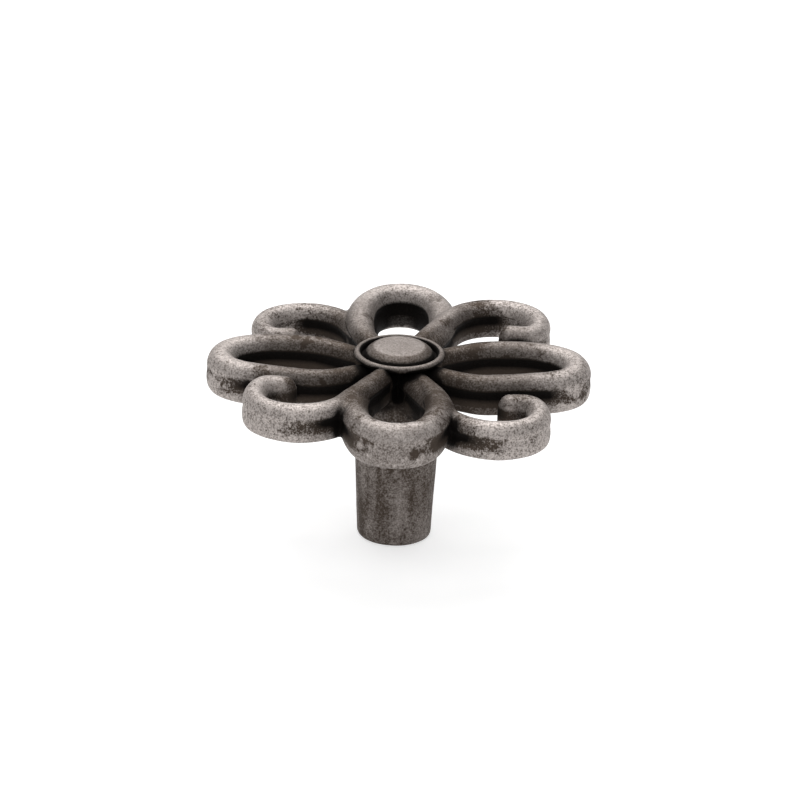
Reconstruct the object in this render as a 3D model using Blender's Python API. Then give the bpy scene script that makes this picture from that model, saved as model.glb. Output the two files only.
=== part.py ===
"""Cast cabinet knob: a tapered stem that carries a pierced rosette of loops and scrolls.

The whole knob is one casting. +Z points out of the door, and the origin is the centre of the foot,
the flat face that is drawn against the door by a screw from behind.
"""

import math
from bisect import bisect_left

import bmesh
import bpy
from mathutils import Matrix, Vector
from mathutils.geometry import interpolate_bezier

MM = 0.001

# Stem, in millimetres like every size below
KNOB_HEIGHT = 22.95
FOOT_RADIUS = 4.3
STEM_TOP_RADIUS = 5.35
FOOT_EDGE_RADIUS = 0.5

# Blind hole for the screw, at the clearance of its thread
SCREW_HOLE_RADIUS = 2.05
SCREW_HOLE_DEPTH = 12.0
SCREW_HOLE_MOUTH_CHAMFER = 0.3
SCREW_HOLE_POINT_ANGLE = math.radians(118.0)

# Centre ring and the domed button inside it
RING_RADIUS = 5.2
RING_LIP_WIDTH = 0.78
RING_LIP_HEIGHT = 0.7
GROOVE_WIDTH = 0.6
GROOVE_DEPTH = 0.9
BUTTON_RISE = 0.7
BUTTON_CROWN = 0.12
BUTTON_TABLE_RADIUS = 2.7
BUTTON_RIM_DROP = 0.85

# A point on the button's sloping side: its shares of the way in and up from the rim to the table
BUTTON_SIDE_IN = 0.4
BUTTON_SIDE_UP = 0.55

# Strand section: width and height of the bar, and how far below its crest it is widest
STRAND_WIDTH = 2.75
STRAND_HEIGHT = 4.4
SHOULDER_SHARE = 0.66
WALL_DRAFT = math.radians(6.0)
BOTTOM_EDGE_RADIUS = 0.9
CREST_FULLNESS = 2.6

# Petals: closed loops, each a bar bent from the hub round its tip and back, and thicker at the tip
PETAL_TIP_WIDTH = 3.4
PETAL_ROOT_ANGLE = math.radians(29.0)
PETAL_ROOT_DROP = 0.9
PETAL_LEVEL_OUT = 16.5

# The slim pair of petals, along X
SLIM_PETAL_REACH = 22.2
SLIM_PETAL_BULGE_OUT = 10.5
SLIM_PETAL_BULGE_HALF_WIDTH = 4.95
SLIM_PETAL_SIDE_WIDTH = 2.75
SLIM_PETAL_TIP_HEIGHT = 4.8
SLIM_PETAL_TIP_DROP = 0.42

# The full pair of petals, along Y
FULL_PETAL_REACH = 22.4
FULL_PETAL_BULGE_OUT = 12.7
FULL_PETAL_BULGE_HALF_WIDTH = 4.88
FULL_PETAL_SIDE_WIDTH = 3.5
FULL_PETAL_TIP_HEIGHT = 5.1
FULL_PETAL_TIP_DROP = 0.2
FULL_PETAL_TURN = math.radians(-0.5)

# Scrolls: bars that leave the hub and curl up, one diagonal pair above the other. Places are in the
# +X +Y quarter, and the headings keep counting down round the curl
SCROLL_ROOT_ANGLE = math.radians(67.5)
SCROLL_ROOT_DROP = 0.3
SCROLL_ELBOW = (5.8, 12.75)
SCROLL_ELBOW_HEADING = math.radians(65.0)
SCROLL_OUTER = (11.4, 16.4)
SCROLL_SIDE = (16.3, 11.85)
SCROLL_RETURN = (14.3, 8.45)
SCROLL_END = (12.7, 9.1)
SCROLL_END_HEADING = math.radians(-225.0)
UPPER_SCROLL_DROP = 0.07
LOWER_SCROLL_DROP = 1.34
LOWER_SCROLL_TURN = math.radians(-0.8)

# How deep the end face of a bar lies inside the stem
ROOT_BURIAL = 0.15

# How finely round shapes are cut into faces. A bar's steps are spread by how much it turns, and a
# straight run counts as a slight turn
TURNED_STEPS = 48
STRAND_STEP_TURN = math.radians(11.0)
STRAIGHT_TURN_PER_MM = math.radians(3.0)
CURVE_SAMPLES = 100
CAP_STEPS = 5
CREST_STEPS = 4
BOTTOM_EDGE_STEPS = 2
FOOT_EDGE_STEPS = 3
LIP_STEPS = 6

# Corners closer together than this are one corner
SAME_POINT = 0.001


def remove_objects():
    """Empty the scene."""
    for found in list(bpy.data.objects):
        bpy.data.objects.remove(found, do_unlink=True)


def casting_material():
    """Dark weathered pewter."""
    material = bpy.data.materials.new("knob_casting")
    material.use_nodes = True
    shader = material.node_tree.nodes["Principled BSDF"]
    shader.inputs["Base Color"].default_value = (0.20, 0.18, 0.16, 1.0)
    shader.inputs["Metallic"].default_value = 0.9
    shader.inputs["Roughness"].default_value = 0.5
    return material


def new_object(name, mesh):
    """Link an object that holds the mesh."""
    made = bpy.data.objects.new(name, mesh)
    bpy.context.collection.objects.link(made)
    return made


def ease(share):
    """Smooth step from 0 to 1."""
    share = min(max(share, 0.0), 1.0)
    return share * share * (3.0 - 2.0 * share)


def blend(low, high, share):
    """The value a share of the way from low to high."""
    return low + (high - low) * share


def arc(centre, radius, start, end, steps):
    """Points of a circular arc in the turned profile, from one angle to another."""
    angles = [blend(start, end, k / steps) for k in range(steps + 1)]
    return [(centre[0] + radius * math.cos(a), centre[1] + radius * math.sin(a)) for a in angles]


def hole_profile():
    """The screw hole's half outline, from its point down to the chamfered mouth."""
    point = SCREW_HOLE_DEPTH + SCREW_HOLE_RADIUS / math.tan(SCREW_HOLE_POINT_ANGLE / 2.0)
    mouth = SCREW_HOLE_RADIUS + SCREW_HOLE_MOUTH_CHAMFER
    return [(0.0, point), (SCREW_HOLE_RADIUS, SCREW_HOLE_DEPTH),
            (SCREW_HOLE_RADIUS, SCREW_HOLE_MOUTH_CHAMFER), (mouth, 0.0)]


def stem_profile():
    """The foot's rounded edge and the tapered side up to the ring's lip."""
    corner = (FOOT_RADIUS - FOOT_EDGE_RADIUS, FOOT_EDGE_RADIUS)
    edge = arc(corner, FOOT_EDGE_RADIUS, -math.pi / 2.0, 0.0, FOOT_EDGE_STEPS)
    return edge + [(STEM_TOP_RADIUS, KNOB_HEIGHT - RING_LIP_HEIGHT)]


def ring_profile():
    """The ring's half-round lip, the groove inside it and the button, in to the axis."""
    half = RING_LIP_WIDTH / 2.0
    lip = (RING_RADIUS - half, KNOB_HEIGHT - half)
    groove_outer = RING_RADIUS - RING_LIP_WIDTH
    button = groove_outer - GROOVE_WIDTH
    floor = KNOB_HEIGHT - GROOVE_DEPTH
    top = KNOB_HEIGHT + BUTTON_RISE
    table = (BUTTON_TABLE_RADIUS, top - BUTTON_CROWN)
    rim = (button, top - BUTTON_CROWN - BUTTON_RIM_DROP)
    side = (blend(rim[0], table[0], BUTTON_SIDE_IN), blend(rim[1], table[1], BUTTON_SIDE_UP))
    crown = [(share * BUTTON_TABLE_RADIUS, top - share ** 2 * BUTTON_CROWN) for share in (1.0, 0.5, 0.0)]
    points = [(RING_RADIUS, KNOB_HEIGHT - RING_LIP_HEIGHT)]
    points += arc(lip, half, 0.0, math.pi, LIP_STEPS)
    points += [(groove_outer, floor), (button, floor), rim, side]
    return points + crown


def turned_body():
    """Stem, hole, ring and button turned about the axis as one closed body."""
    mesh = bpy.data.meshes.new("knob_casting")
    shape = bmesh.new()
    profile = hole_profile() + stem_profile() + ring_profile()
    points = [shape.verts.new((x * MM, 0.0, z * MM)) for x, z in profile]
    edges = [shape.edges.new(pair) for pair in zip(points, points[1:])]
    bmesh.ops.spin(shape, geom=points + edges, cent=(0.0, 0.0, 0.0), axis=(0.0, 0.0, 1.0),
                   angle=2.0 * math.pi, steps=TURNED_STEPS, use_merge=True)
    bmesh.ops.remove_doubles(shape, verts=shape.verts, dist=SAME_POINT * MM)
    bmesh.ops.recalc_face_normals(shape, faces=shape.faces)
    shape.to_mesh(mesh)
    shape.free()
    return new_object("knob_casting", mesh)


def strand_section(width, height):
    """One side of the bar's section as (distance from its middle, depth below its crest) points.

    The top is rounded down to the shoulder, where the bar is widest, and the wall below leans in.
    """
    half = width / 2.0
    shoulder = SHOULDER_SHARE * height
    crest = []
    for k in range(CREST_STEPS + 1):
        angle = math.pi / 2.0 * k / CREST_STEPS
        across = half * math.sin(angle) ** (2.0 / CREST_FULLNESS)
        depth = shoulder * (1.0 - math.cos(angle) ** (2.0 / CREST_FULLNESS))
        crest.append((across, depth))
    wall_foot = half - (height - shoulder - BOTTOM_EDGE_RADIUS) * math.tan(WALL_DRAFT)
    corner = (wall_foot - BOTTOM_EDGE_RADIUS, height - BOTTOM_EDGE_RADIUS)
    return crest + arc(corner, BOTTOM_EDGE_RADIUS, 0.0, math.pi / 2.0, BOTTOM_EDGE_STEPS)


def span(start, end):
    """Close points of one smooth curve between two (x, y, heading) knots, near a round arc.

    The handles are a third of the chord on a straight span, and grow with the turn of a bent one.
    """
    first = Vector((start[0], start[1], 0.0))
    last = Vector((end[0], end[1], 0.0))
    half_turn = abs(end[2] - start[2]) / 2.0
    reach = (last - first).length / (3.0 * math.cos(half_turn / 2.0) ** 2)
    lead = first + reach * Vector((math.cos(start[2]), math.sin(start[2]), 0.0))
    trail = last - reach * Vector((math.cos(end[2]), math.sin(end[2]), 0.0))
    return interpolate_bezier(first, lead, trail, last, CURVE_SAMPLES)


def curve_through(knots):
    """Points of a smooth curve through the knots, closer together where it bends more."""
    samples = span(knots[0], knots[1])
    for start, end in zip(knots[1:], knots[2:]):
        samples += span(start, end)[1:]
    strides = [after - before for before, after in zip(samples, samples[1:])]
    bends = [0.0] + [one.angle(two) for one, two in zip(strides, strides[1:])]
    reached = [0.0]
    for stride, bend in zip(strides, bends):
        reached.append(reached[-1] + bend + stride.length * STRAIGHT_TURN_PER_MM)
    steps = round(reached[-1] / STRAND_STEP_TURN)
    return [samples[bisect_left(reached, reached[-1] * k / steps)] for k in range(steps + 1)]


def root_reach():
    """How far out a bar starts: the corners of its end face lie just inside the tapered stem."""
    taper = (STEM_TOP_RADIUS - FOOT_RADIUS) / (KNOB_HEIGHT - RING_LIP_HEIGHT)
    stem = STEM_TOP_RADIUS - taper * (STRAND_HEIGHT + PETAL_ROOT_DROP)
    return math.sqrt(stem ** 2 - (STRAND_WIDTH / 2.0) ** 2) - ROOT_BURIAL


def root_place(angle):
    """Where a bar starts that leaves the axis at this angle."""
    return root_reach() * math.cos(angle), root_reach() * math.sin(angle)


def section_loop(shape, place, ahead, half_section, crest, turn):
    """Vertices round the bar's section at one place.

    A turn above zero swings both halves of the section forward, which rounds off the bar's end.
    """
    side = Vector((-ahead.y, ahead.x, 0.0))
    loop = []
    for sign, points in ((1.0, half_section), (-1.0, half_section[:0:-1])):
        for across, depth in points:
            spot = place + side * (sign * across * math.cos(turn)) + ahead * (across * math.sin(turn))
            spot.z = KNOB_HEIGHT - crest - depth
            loop.append(shape.verts.new(spot * MM))
    return loop


def sweep(name, path, widths, heights, crests, round_end):
    """A closed bar along the path: its section stays upright, and its crest lies at the given depths."""
    shape = bmesh.new()
    last = len(path) - 1
    stations = [(k, 0.0) for k in range(last + 1)]
    if round_end:
        stations += [(last, math.pi / 2.0 * (k + 1) / CAP_STEPS) for k in range(CAP_STEPS)]
    loops = []
    for k, turn in stations:
        ahead = (path[min(k + 1, last)] - path[max(k - 1, 0)]).normalized()
        half_section = strand_section(widths[k], heights[k])
        loops.append(section_loop(shape, path[k], ahead, half_section, crests[k], turn))
    for one, two in zip(loops, loops[1:]):
        for j in range(len(one)):
            after = (j + 1) % len(one)
            shape.faces.new((one[j], one[after], two[after], two[j]))
    shape.faces.new(loops[0])
    if not round_end:
        shape.faces.new(loops[-1])
    bmesh.ops.remove_doubles(shape, verts=shape.verts, dist=SAME_POINT * MM)
    bmesh.ops.dissolve_degenerate(shape, edges=shape.edges, dist=SAME_POINT * MM)
    bmesh.ops.recalc_face_normals(shape, faces=shape.faces)
    mesh = bpy.data.meshes.new(name)
    shape.to_mesh(mesh)
    shape.free()
    return new_object(name, mesh)


def petal(name, turn, reach, bulge_out, bulge_half_width, side_width, tip_height, tip_drop):
    """One closed loop, pointing along +X before it is turned, widest at bulge_out from the axis."""
    tip = reach - PETAL_TIP_WIDTH / 2.0
    root = root_place(PETAL_ROOT_ANGLE)
    there = curve_through([(*root, PETAL_ROOT_ANGLE), (bulge_out, bulge_half_width, 0.0),
                           (tip, 0.0, -math.pi / 2.0)])
    back = [Vector((p.x, -p.y, 0.0)) for p in reversed(there[:-1])]
    path = there + back
    growth = [ease((p.x - bulge_out) / (tip - bulge_out)) for p in path]
    rise = [ease((p.x - root[0]) / (PETAL_LEVEL_OUT - root[0])) for p in path]
    swell = [ease((p.x - root[0]) / (bulge_out - root[0])) for p in path]
    widths = [blend(blend(STRAND_WIDTH, side_width, a), PETAL_TIP_WIDTH, b) for a, b in zip(swell, growth)]
    heights = [blend(STRAND_HEIGHT, tip_height, s) for s in growth]
    crests = [blend(PETAL_ROOT_DROP, tip_drop, s) for s in rise]
    made = sweep(name, path, widths, heights, crests, round_end=False)
    made.data.transform(Matrix.Rotation(turn, 4, "Z"))
    return made


def slim_petal(name, turn):
    """One of the pair of petals along X."""
    return petal(name, turn, SLIM_PETAL_REACH, SLIM_PETAL_BULGE_OUT, SLIM_PETAL_BULGE_HALF_WIDTH,
                 SLIM_PETAL_SIDE_WIDTH, SLIM_PETAL_TIP_HEIGHT, SLIM_PETAL_TIP_DROP)


def full_petal(name, turn):
    """One of the pair of petals along Y."""
    return petal(name, turn, FULL_PETAL_REACH, FULL_PETAL_BULGE_OUT, FULL_PETAL_BULGE_HALF_WIDTH,
                 FULL_PETAL_SIDE_WIDTH, FULL_PETAL_TIP_HEIGHT, FULL_PETAL_TIP_DROP)


def scroll(name, turn, mirrored, drop):
    """One scroll, its crest drop below the ring's top, in the +X +Y quarter before it is turned."""
    root = root_place(SCROLL_ROOT_ANGLE)
    path = curve_through([(*root, SCROLL_ROOT_ANGLE), (*SCROLL_ELBOW, SCROLL_ELBOW_HEADING),
                          (*SCROLL_OUTER, 0.0), (*SCROLL_SIDE, -math.pi / 2.0),
                          (*SCROLL_RETURN, -math.pi), (*SCROLL_END, SCROLL_END_HEADING)])
    root_drop = max(drop, SCROLL_ROOT_DROP)
    rise = [ease((p.x - root[0]) / (SCROLL_ELBOW[0] - root[0])) for p in path]
    crests = [blend(root_drop, drop, s) for s in rise]
    widths = [STRAND_WIDTH] * len(path)
    heights = [STRAND_HEIGHT] * len(path)
    made = sweep(name, path, widths, heights, crests, round_end=True)
    if mirrored:
        made.data.transform(Matrix.Scale(-1.0, 4, (1.0, 0.0, 0.0)))
        made.data.flip_normals()
    made.data.transform(Matrix.Rotation(turn, 4, "Z"))
    return made


def unite(body, bars):
    """Join every bar to the body, so that the casting is one closed solid."""
    for bar in bars:
        bar.hide_render = True
        bar.display_type = "WIRE"
        join = body.modifiers.new(bar.name, "BOOLEAN")
        join.operation = "UNION"
        join.solver = "EXACT"
        join.object = bar


def main():
    remove_objects()
    body = turned_body()
    body.data.materials.append(casting_material())
    bars = []
    for k in range(2):
        half_turn = k * math.pi
        full_turn = half_turn + math.pi / 2.0 + FULL_PETAL_TURN
        lower_turn = half_turn + LOWER_SCROLL_TURN
        bars.append(slim_petal(f"slim_petal_{k}", half_turn))
        bars.append(full_petal(f"full_petal_{k}", full_turn))
        bars.append(scroll(f"upper_scroll_{k}", half_turn, False, UPPER_SCROLL_DROP))
        bars.append(scroll(f"lower_scroll_{k}", lower_turn, True, LOWER_SCROLL_DROP))
    unite(body, bars)
    body.data.shade_smooth()
    body.data.set_sharp_from_angle(angle=math.radians(40.0))


main()
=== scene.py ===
# %% [markdown]
# # A cast cabinet knob in weathered pewter
# The knob is one zinc casting: a tapered stem stands on its foot and carries an open rosette of
# four looped petals and four curled scrolls, with a ringed button in the middle. The packed
# solid already has these forms, but with flat facets and knife-sharp corners where the bars
# meet. This lesson makes the same casting with the soft corners, fine skin and worn finish of
# the real one.

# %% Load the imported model
import math

import bmesh
import bpy
from mathutils import Matrix, Vector
from mathutils.geometry import interpolate_bezier


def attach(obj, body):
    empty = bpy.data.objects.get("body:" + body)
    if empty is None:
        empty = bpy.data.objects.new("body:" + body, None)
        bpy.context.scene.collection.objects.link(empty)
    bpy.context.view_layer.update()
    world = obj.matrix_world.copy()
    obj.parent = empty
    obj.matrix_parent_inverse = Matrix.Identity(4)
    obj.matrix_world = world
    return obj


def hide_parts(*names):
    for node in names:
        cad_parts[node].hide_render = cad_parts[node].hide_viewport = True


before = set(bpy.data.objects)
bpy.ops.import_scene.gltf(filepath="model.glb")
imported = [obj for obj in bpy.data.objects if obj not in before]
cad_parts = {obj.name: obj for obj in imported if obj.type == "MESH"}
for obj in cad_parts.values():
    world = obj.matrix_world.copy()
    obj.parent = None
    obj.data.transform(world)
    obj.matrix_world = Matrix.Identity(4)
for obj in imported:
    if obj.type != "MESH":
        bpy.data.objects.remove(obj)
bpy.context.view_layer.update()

MM = 0.001

# %% [markdown]
# ## Sizes
# The solid and this model follow the same drawing, so most sizes below are the solid's own. A
# few were fitted again later and differ by some tenths of a millimetre. They are in
# millimetres, and each one is written once.

# %% Sizes of the stem, ring and button
KNOB_HEIGHT = 22.95
FOOT_RADIUS = 4.3
STEM_TOP_RADIUS = 5.35
FOOT_EDGE_RADIUS = 0.5
HOLE_RADIUS = 2.05
HOLE_DEPTH = 12.0
HOLE_MOUTH_CHAMFER = 0.3
HOLE_POINT_HEIGHT = 1.23
RING_RADIUS = 5.2
RING_LIP_WIDTH = 0.78
RING_LIP_HEIGHT = 0.7
GROOVE_WIDTH = 0.4
GROOVE_DEPTH = 0.9
BUTTON_RISE = 0.7
BUTTON_CROWN = 0.12
BUTTON_TABLE_RADIUS = 3.0
BUTTON_RIM_DROP = 0.9
RING_THICKNESS = 0.75
CORE_RADIUS = 3.0
SHOULDER_HEIGHT = 18.6
SHOULDER_RADIUS = 0.9

# %% Sizes of the bars
BAR_WIDTH = 2.75
BAR_HEIGHT = 4.4
SHOULDER_SHARE = 0.45
CREST_POWER = 2.1
UNDERSIDE_POWER = 4.6
ROOT_REACH = 4.76
ROOT_START = 2.4
GROOVE_LEVEL = 2.0
GROOVE_HALF_HEIGHT = 0.65
GROOVE_IN = 0.36
WEB_IN = 0.16
PETAL_TIP_WIDTH = 3.4
LEAN_FROM = 1.3
FULL_PETAL_LEAN = 0.31
FULL_PETAL_TIP_LEAN = 0.1
PETAL_ROOT_ANGLE = math.radians(29.0)
PETAL_ROOT_DROP = 0.9
PETAL_LEVEL_OUT = 16.5
SCROLL_ROOT_ANGLE = math.radians(67.5)
SCROLL_ROOT_DROP = 0.3
SCROLL_ARM_WIDTH = 3.15

# %% [markdown]
# ## Node trees as plain maths
# A finish, or a shape that follows a rule, is a sum of small formulas. Wiring them by hand is
# slow to write and slower to read, so one class wraps a node's output and lets Python's own
# operators add the Math nodes. Every other node comes from one method, which takes the node's
# type, its settings and what goes into its sockets. Both serve shaders and Geometry Nodes.

# %% A wire that does maths
class Wire:
    """An output socket that can be used in a formula."""

    def __init__(self, socket):
        self.socket = socket

    def math(self, operation, *others, swapped=False):
        """A Math node fed by this wire and the other values."""
        tree = self.socket.id_data
        node = tree.nodes.new("ShaderNodeMath")
        node.operation = operation
        values = (*others, self) if swapped else (self, *others)
        for socket, value in zip(node.inputs, values):
            if isinstance(value, Wire):
                tree.links.new(value.socket, socket)
            else:
                socket.default_value = value
        return Wire(node.outputs[0])

    def out(self, name):
        """Another output of the same node."""
        return Wire(self.socket.node.outputs[name])

    def __add__(self, other):
        return self.math("ADD", other)

    __radd__ = __add__

    def __mul__(self, other):
        return self.math("MULTIPLY", other)

    __rmul__ = __mul__

    def __sub__(self, other):
        return self.math("SUBTRACT", other)

    def __rsub__(self, other):
        return self.math("SUBTRACT", other, swapped=True)

    def __truediv__(self, other):
        return self.math("DIVIDE", other)

    def __rtruediv__(self, other):
        return self.math("DIVIDE", other, swapped=True)

    def __pow__(self, other):
        return self.math("POWER", other)

    def __gt__(self, other):
        return self.math("GREATER_THAN", other)


    def __abs__(self):
        return self.math("ABSOLUTE")

    def kept(self, low=0.0, high=1.0):
        """The value held between two limits."""
        return self.math("MAXIMUM", low).math("MINIMUM", high)

    def step(self, start, end):
        """0 before start, 1 after end, and an even rise between them."""
        return ((self - start) / (end - start)).kept()


# %% A tree with one way to add a node
class Nodes:
    """A node tree."""

    def __init__(self, tree):
        self.tree = tree

    def add(self, kind, settings=None, inputs=None, output=0):
        """A new node's output, once its settings and then its sockets are filled in."""
        node = self.tree.nodes.new(kind)
        for name, value in (settings or {}).items():
            setattr(node, name, value)
        for name, value in (inputs or {}).items():
            if isinstance(value, Wire):
                self.tree.links.new(value.socket, node.inputs[name])
            else:
                node.inputs[name].default_value = value
        return Wire(node.outputs[output]) if node.outputs else node

    def combine(self, x, y, z):
        """A vector from its three parts."""
        return self.add("ShaderNodeCombineXYZ", inputs={"X": x, "Y": y, "Z": z})

    def parts(self, vector):
        """A vector's three parts."""
        split = self.add("ShaderNodeSeparateXYZ", inputs={"Vector": vector})
        return split, split.out("Y"), split.out("Z")

    def vector(self, operation, one, two, output=0):
        """A Vector Math node fed by two vectors."""
        return self.add("ShaderNodeVectorMath", {"operation": operation}, {0: one, 1: two}, output)

    def scaled(self, vector, amount):
        """A vector times a number."""
        return self.add("ShaderNodeVectorMath", {"operation": "SCALE"},
                        {0: vector, "Scale": amount})


# %% [markdown]
# ## Trees that make meshes
# Each Geometry Nodes tree here starts with the same inputs, ends with the same two nodes and is
# run in the same way: as a modifier whose result is read back as a plain mesh. Real mesh is
# needed because instances and live modifiers don't leave Blender with the knob. The finish is
# made here as an empty material, since the trees put it on, and is filled in at the end.

# %% A tree's inputs, its end and its run
finish = bpy.data.materials.new("weathered_pewter")


def geometry_tree(name, sizes):
    """A geometry tree with inputs for a geometry, a material and one named size after another."""
    tree = bpy.data.node_groups.new(name, "GeometryNodeTree")
    tree.interface.new_socket("Geometry", in_out="INPUT", socket_type="NodeSocketGeometry")
    tree.interface.new_socket("Geometry", in_out="OUTPUT", socket_type="NodeSocketGeometry")
    tree.interface.new_socket("Finish", in_out="INPUT", socket_type="NodeSocketMaterial")
    for size in sizes:
        tree.interface.new_socket(size, in_out="INPUT", socket_type="NodeSocketFloat")
    nodes = Nodes(tree)
    given = nodes.add("NodeGroupInput")
    return nodes, given


def end_tree(nodes, given, geometry):
    """Real mesh in place of instances, in the finish, as the tree's result."""
    whole = nodes.add("GeometryNodeRealizeInstances", inputs={"Geometry": geometry})
    coated = nodes.add("GeometryNodeSetMaterial", inputs={
        "Geometry": whole, "Material": given.out("Finish")})
    nodes.add("NodeGroupOutput", inputs={"Geometry": coated})
    return nodes.tree


def run_tree(thing, tree, sizes):
    """The object's mesh once the tree has worked on it; the modifier is gone afterwards."""
    modifier = thing.modifiers.new(tree.name, "NODES")
    modifier.node_group = tree
    for item in tree.interface.items_tree:
        if item.name in sizes:
            modifier[item.identifier] = sizes[item.name]
        if item.name == "Finish":
            modifier[item.identifier] = finish
    return settle(thing)


def settle(thing):
    """Turn what the object's modifiers show into its own mesh, and remove them."""
    bpy.context.view_layer.update()
    depsgraph = bpy.context.evaluated_depsgraph_get()
    mesh = bpy.data.meshes.new_from_object(thing.evaluated_get(depsgraph))
    thing.modifiers.clear()
    thing.data = mesh
    return thing


def new_object(name, mesh):
    """An object in the scene that holds the mesh."""
    made = bpy.data.objects.new(name, mesh)
    bpy.context.scene.collection.objects.link(made)
    return made


# %% Steps that the trees share
def moved(nodes, geometry, place):
    """The geometry with its points put in new places."""
    return nodes.add("GeometryNodeSetPosition", inputs={"Geometry": geometry, "Position": place})


def stored(nodes, geometry, name, value, kind="FLOAT"):
    """The geometry with a value kept on each of its points under a name."""
    return nodes.add("GeometryNodeStoreNamedAttribute", {"data_type": kind, "domain": "POINT"},
                     {"Geometry": geometry, "Name": name, "Value": value})


def carried(nodes, name, kind="FLOAT"):
    """The value that the points carry under a name."""
    return nodes.add("GeometryNodeInputNamedAttribute", {"data_type": kind}, {"Name": name})


def blurred(nodes, value, passes, weight=1.0, kind="FLOAT"):
    """A value averaged with that of the neighbouring points, over and over."""
    return nodes.add("GeometryNodeBlurAttribute", {"data_type": kind},
                     {"Value": value, "Iterations": passes, "Weight": weight})


def swept_along(nodes, line, section):
    """A closed bar: a section swept along a curve, upright all the way."""
    upright = nodes.add("GeometryNodeSetCurveNormal", {"mode": "Z_UP"}, {"Curve": line})
    return nodes.add("GeometryNodeCurveToMesh", inputs={
        "Curve": upright, "Profile Curve": section, "Fill Caps": True})


# %% [markdown]
# ## The bars' paths
# Seen from above, each petal is a loop that leaves the hub, widens and closes round its tip,
# and each scroll is a bar that leaves on a diagonal and curls up. A pencil line down the middle
# of each bar is enough to describe it, and a few knots with a heading are enough for the line.
# Every bar has a twin half a turn away, so only four lines are drawn.

# %% Smooth lines through knots
SAMPLES = 60


def blend(low, high, share):
    return low + (high - low) * share


def ease(share):
    """Smooth step from 0 to 1."""
    share = min(max(share, 0.0), 1.0)
    return share * share * (3.0 - 2.0 * share)


def span(start, end):
    """Close points of a smooth curve between two (x, y, heading) knots."""
    first, last = Vector((*start[:2], 0.0)), Vector((*end[:2], 0.0))
    half_turn = abs(end[2] - start[2]) / 2.0
    reach = (last - first).length / (3.0 * math.cos(half_turn / 2.0) ** 2)
    lead = first + reach * Vector((math.cos(start[2]), math.sin(start[2]), 0.0))
    trail = last - reach * Vector((math.cos(end[2]), math.sin(end[2]), 0.0))
    return interpolate_bezier(first, lead, trail, last, SAMPLES)


def line_through(knots):
    """One smooth line through all the knots."""
    line = span(knots[0], knots[1])
    for start, end in zip(knots[1:], knots[2:]):
        line += span(start, end)[1:]
    return line


def root_place(angle, reach=ROOT_REACH):
    """Where a bar leaves the hub."""
    return reach * math.cos(angle), reach * math.sin(angle)


def eased(line, first, last):
    """For each point, how far it has come between two distances along x, from 0 to 1."""
    return [ease((p.x - first) / (last - first)) for p in line]


# %% A petal's line
PETAL_WORN_FROM = 15.0
GROOVE_AT_PETAL_TIP = 0.25


def petal(turn, reach, bulge_out, bulge_half_width, side, tip, leans=(0.0, 0.0)):
    """One petal's line, with the bar's sizes at each point.

    A side is a width and a height, and a tip is a height and a drop under the ring's top. The
    leans are how steeply the inner wall slopes inwards, along the sides and at the tip.
    """
    end = reach - PETAL_TIP_WIDTH / 2.0
    root = root_place(PETAL_ROOT_ANGLE)
    start = root_place(PETAL_ROOT_ANGLE, ROOT_START)
    there = line_through([(*start, PETAL_ROOT_ANGLE), (*root, PETAL_ROOT_ANGLE),
                          (bulge_out, bulge_half_width, 0.0), (end, 0.0, -math.pi / 2.0)])
    line = there + [Vector((p.x, -p.y, 0.0)) for p in reversed(there[:-1])]
    swell = eased(line, root[0], bulge_out)
    growth = eased(line, bulge_out, end)
    rise = eased(line, root[0], PETAL_LEVEL_OUT)
    worn = eased(line, PETAL_WORN_FROM, end)
    return {"points": [Matrix.Rotation(turn, 3, "Z") @ p for p in line],
            "width": [blend(blend(BAR_WIDTH, side[0], a), PETAL_TIP_WIDTH, b)
                      for a, b in zip(swell, growth)],
            "height": [blend(blend(BAR_HEIGHT, side[1], a), tip[0], b)
                       for a, b in zip(swell, growth)],
            "drop": [blend(PETAL_ROOT_DROP, tip[1], s) for s in rise],
            "lean": [blend(leans[0] * a, leans[1], b) for a, b in zip(swell, growth)],
            "groove": [blend(1.0, GROOVE_AT_PETAL_TIP, s) for s in worn], "round_end": 0.0}


slim_petal = petal(0.0, reach=22.2, bulge_out=10.5, bulge_half_width=4.95, side=(2.95, 4.7),
                   tip=(4.8, 0.42))
full_petal = petal(math.radians(89.5), reach=22.4, bulge_out=12.7, bulge_half_width=4.88,
                   side=(3.5, 4.4), tip=(5.1, 0.2),
                   leans=(FULL_PETAL_LEAN, FULL_PETAL_TIP_LEAN))
print("points on a petal:", len(slim_petal["points"]))

# %% A scroll's line
SCROLL_ELBOW = (5.8, 12.75)
SCROLL_WAY = [(*SCROLL_ELBOW, math.radians(65.0)), (11.4, 16.4, 0.0),
              (16.3, 11.85, -math.pi / 2.0), (14.3, 8.45, -math.pi),
              (12.85, 8.62, math.radians(-190.0))]
SCROLL_ARM_END = (14.0, 11.0)
SCROLL_WORN = (8.0, 12.0)
GROOVE_AT_SCROLL_END = 0.4


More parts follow.
